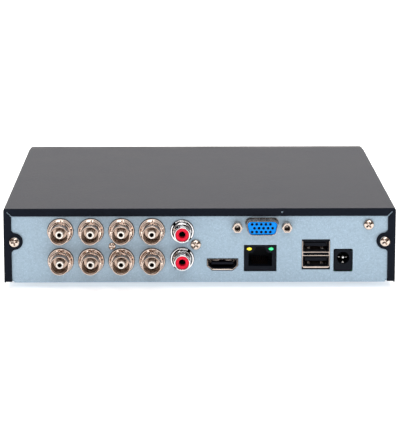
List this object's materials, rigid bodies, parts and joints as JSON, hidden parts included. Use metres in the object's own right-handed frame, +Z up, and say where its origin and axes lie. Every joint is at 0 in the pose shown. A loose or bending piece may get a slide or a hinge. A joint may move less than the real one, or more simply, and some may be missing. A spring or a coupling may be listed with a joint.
{
  "type": "digital video recorder",
  "caption": "Compact desktop video recorder: folded steel case with BNC, phono, VGA, HDMI, network, USB and power sockets on its rear panel and a hard disk inside.",
  "frame": {"origin": "under the middle of the recorder's bounding box, on the surface its feet stand on", "axes": "+Z up; -Y out of the rear connector panel; +X to the right as seen from behind"},
  "size_m": [0.198, 0.203, 0.0415],
  "materials": {
    "black_paint": "fine textured powder coat",
    "zinc_steel": "zinc plated, satin",
    "bezel_plastic": "fine spark-eroded texture",
    "window_plastic": "gloss, smoked",
    "board_green": "solder mask, satin",
    "light_clear": "clear epoxy",
    "ribbon_white": "ribbed",
    "foot_rubber": "moulded",
    "screw_nickel": "nickel plated",
    "standoff_brass": "turned",
    "connector_black": "moulded",
    "nickel_shell": "nickel plated, turned",
    "dielectric_white": "moulded",
    "contact_gold": "gold plated",
    "bright_chrome": "bright chrome, turned",
    "insulator_red": "moulded",
    "contact_steel": "bright",
    "insert_blue": "moulded",
    "socket_steel": "tinned",
    "light_yellow": "clear tinted",
    "light_green": "clear tinted",
    "sink_aluminium": "extruded, anodised",
    "chip_black": "moulded epoxy",
    "capacitor_sleeve": "shrink sleeve",
    "cell_steel": "bright",
    "header_ivory": "moulded nylon",
    "disk_casting": "die cast",
    "disk_cover": "pressed",
    "platter_mirror": "polished",
    "arm_aluminium": "machined",
    "cable_red": "smooth",
    "cable_black": "smooth"
  },
  "bodies": {
    "root": {"base_tray": "zinc_steel", "front_bezel": "bezel_plastic", "indicator_window": "window_plastic", "main_board": "board_green", "indicator_board": "board_green", "disk_board": "board_green", "indicator_lights": "light_clear", "indicator_cable": "ribbon_white", "rubber_feet": "foot_rubber", "connector_screws": "screw_nickel", "board_screws": "screw_nickel", "disk_screws": "screw_nickel", "board_standoffs": "standoff_brass", "bnc_block": "connector_black", "rca_block": "connector_black", "vga_riser": "connector_black", "rj45_housing": "connector_black", "dc_jack_body": "connector_black", "hdmi_tongue": "connector_black", "usb_tongues": "connector_black", "coin_cell_holder": "connector_black", "buzzer": "connector_black", "bnc_shell_1": "nickel_shell", "bnc_shell_2": "nickel_shell", "bnc_shell_3": "nickel_shell", "bnc_shell_4": "nickel_shell", "bnc_shell_5": "nickel_shell", "bnc_shell_6": "nickel_shell", "bnc_shell_7": "nickel_shell", "bnc_shell_8": "nickel_shell", "bnc_insulators": "dielectric_white", "bnc_contacts": "contact_gold", "rj45_contacts": "contact_gold", "rca_shell_upper": "bright_chrome", "rca_shell_lower": "bright_chrome", "rca_insulators": "insulator_red", "rca_contacts": "contact_steel", "dc_jack_pin": "contact_steel", "vga_insert": "insert_blue", "vga_shell": "socket_steel", "vga_jack_posts": "socket_steel", "hdmi_shell": "socket_steel", "usb_shell": "socket_steel", "rj45_light_yellow": "light_yellow", "rj45_light_green": "light_green", "heatsink": "sink_aluminium", "chips": "chip_black", "capacitors": "capacitor_sleeve", "coin_cell": "cell_steel", "board_headers": "header_ivory", "disk_base": "disk_casting", "disk_lid": "disk_cover", "data_cable": "cable_red", "power_cable": "cable_black"},
    "cover": {"top_cover": "black_paint"},
    "cover_screw_left": {"cover_screw_left": "screw_nickel"},
    "cover_screw_right": {"cover_screw_right": "screw_nickel"},
    "ground_screw": {"ground_screw": "screw_nickel"},
    "platters": {"disk_platters": "platter_mirror"},
    "head_arm": {"head_arm": "arm_aluminium"}
  },
  "joints": [
    {"name": "cover_slide", "type": "slide", "parent": "root", "child": "cover", "axis": [0, -1, 0], "range_m": [0, 0.21]},
    {"name": "screw_left_out", "type": "slide", "parent": "cover", "child": "cover_screw_left", "axis": [0, -1, 0], "range_m": [0, 0.0065]},
    {"name": "screw_right_out", "type": "slide", "parent": "cover", "child": "cover_screw_right", "axis": [0, -1, 0], "range_m": [0, 0.0065]},
    {"name": "ground_screw_out", "type": "slide", "parent": "root", "child": "ground_screw", "axis": [0, -1, 0], "range_m": [0, 0.004]},
    {"name": "platter_spin", "type": "hinge", "parent": "root", "child": "platters", "pos_m": [-0.0448, 0.0404, 0.02], "axis": [0, 0, 1], "continuous": true},
    {"name": "arm_swing", "type": "hinge", "parent": "root", "child": "head_arm", "pos_m": [0.0092, 0.0284, 0.02], "axis": [0, 0, 1], "range_deg": [0, 33]}
  ]
}
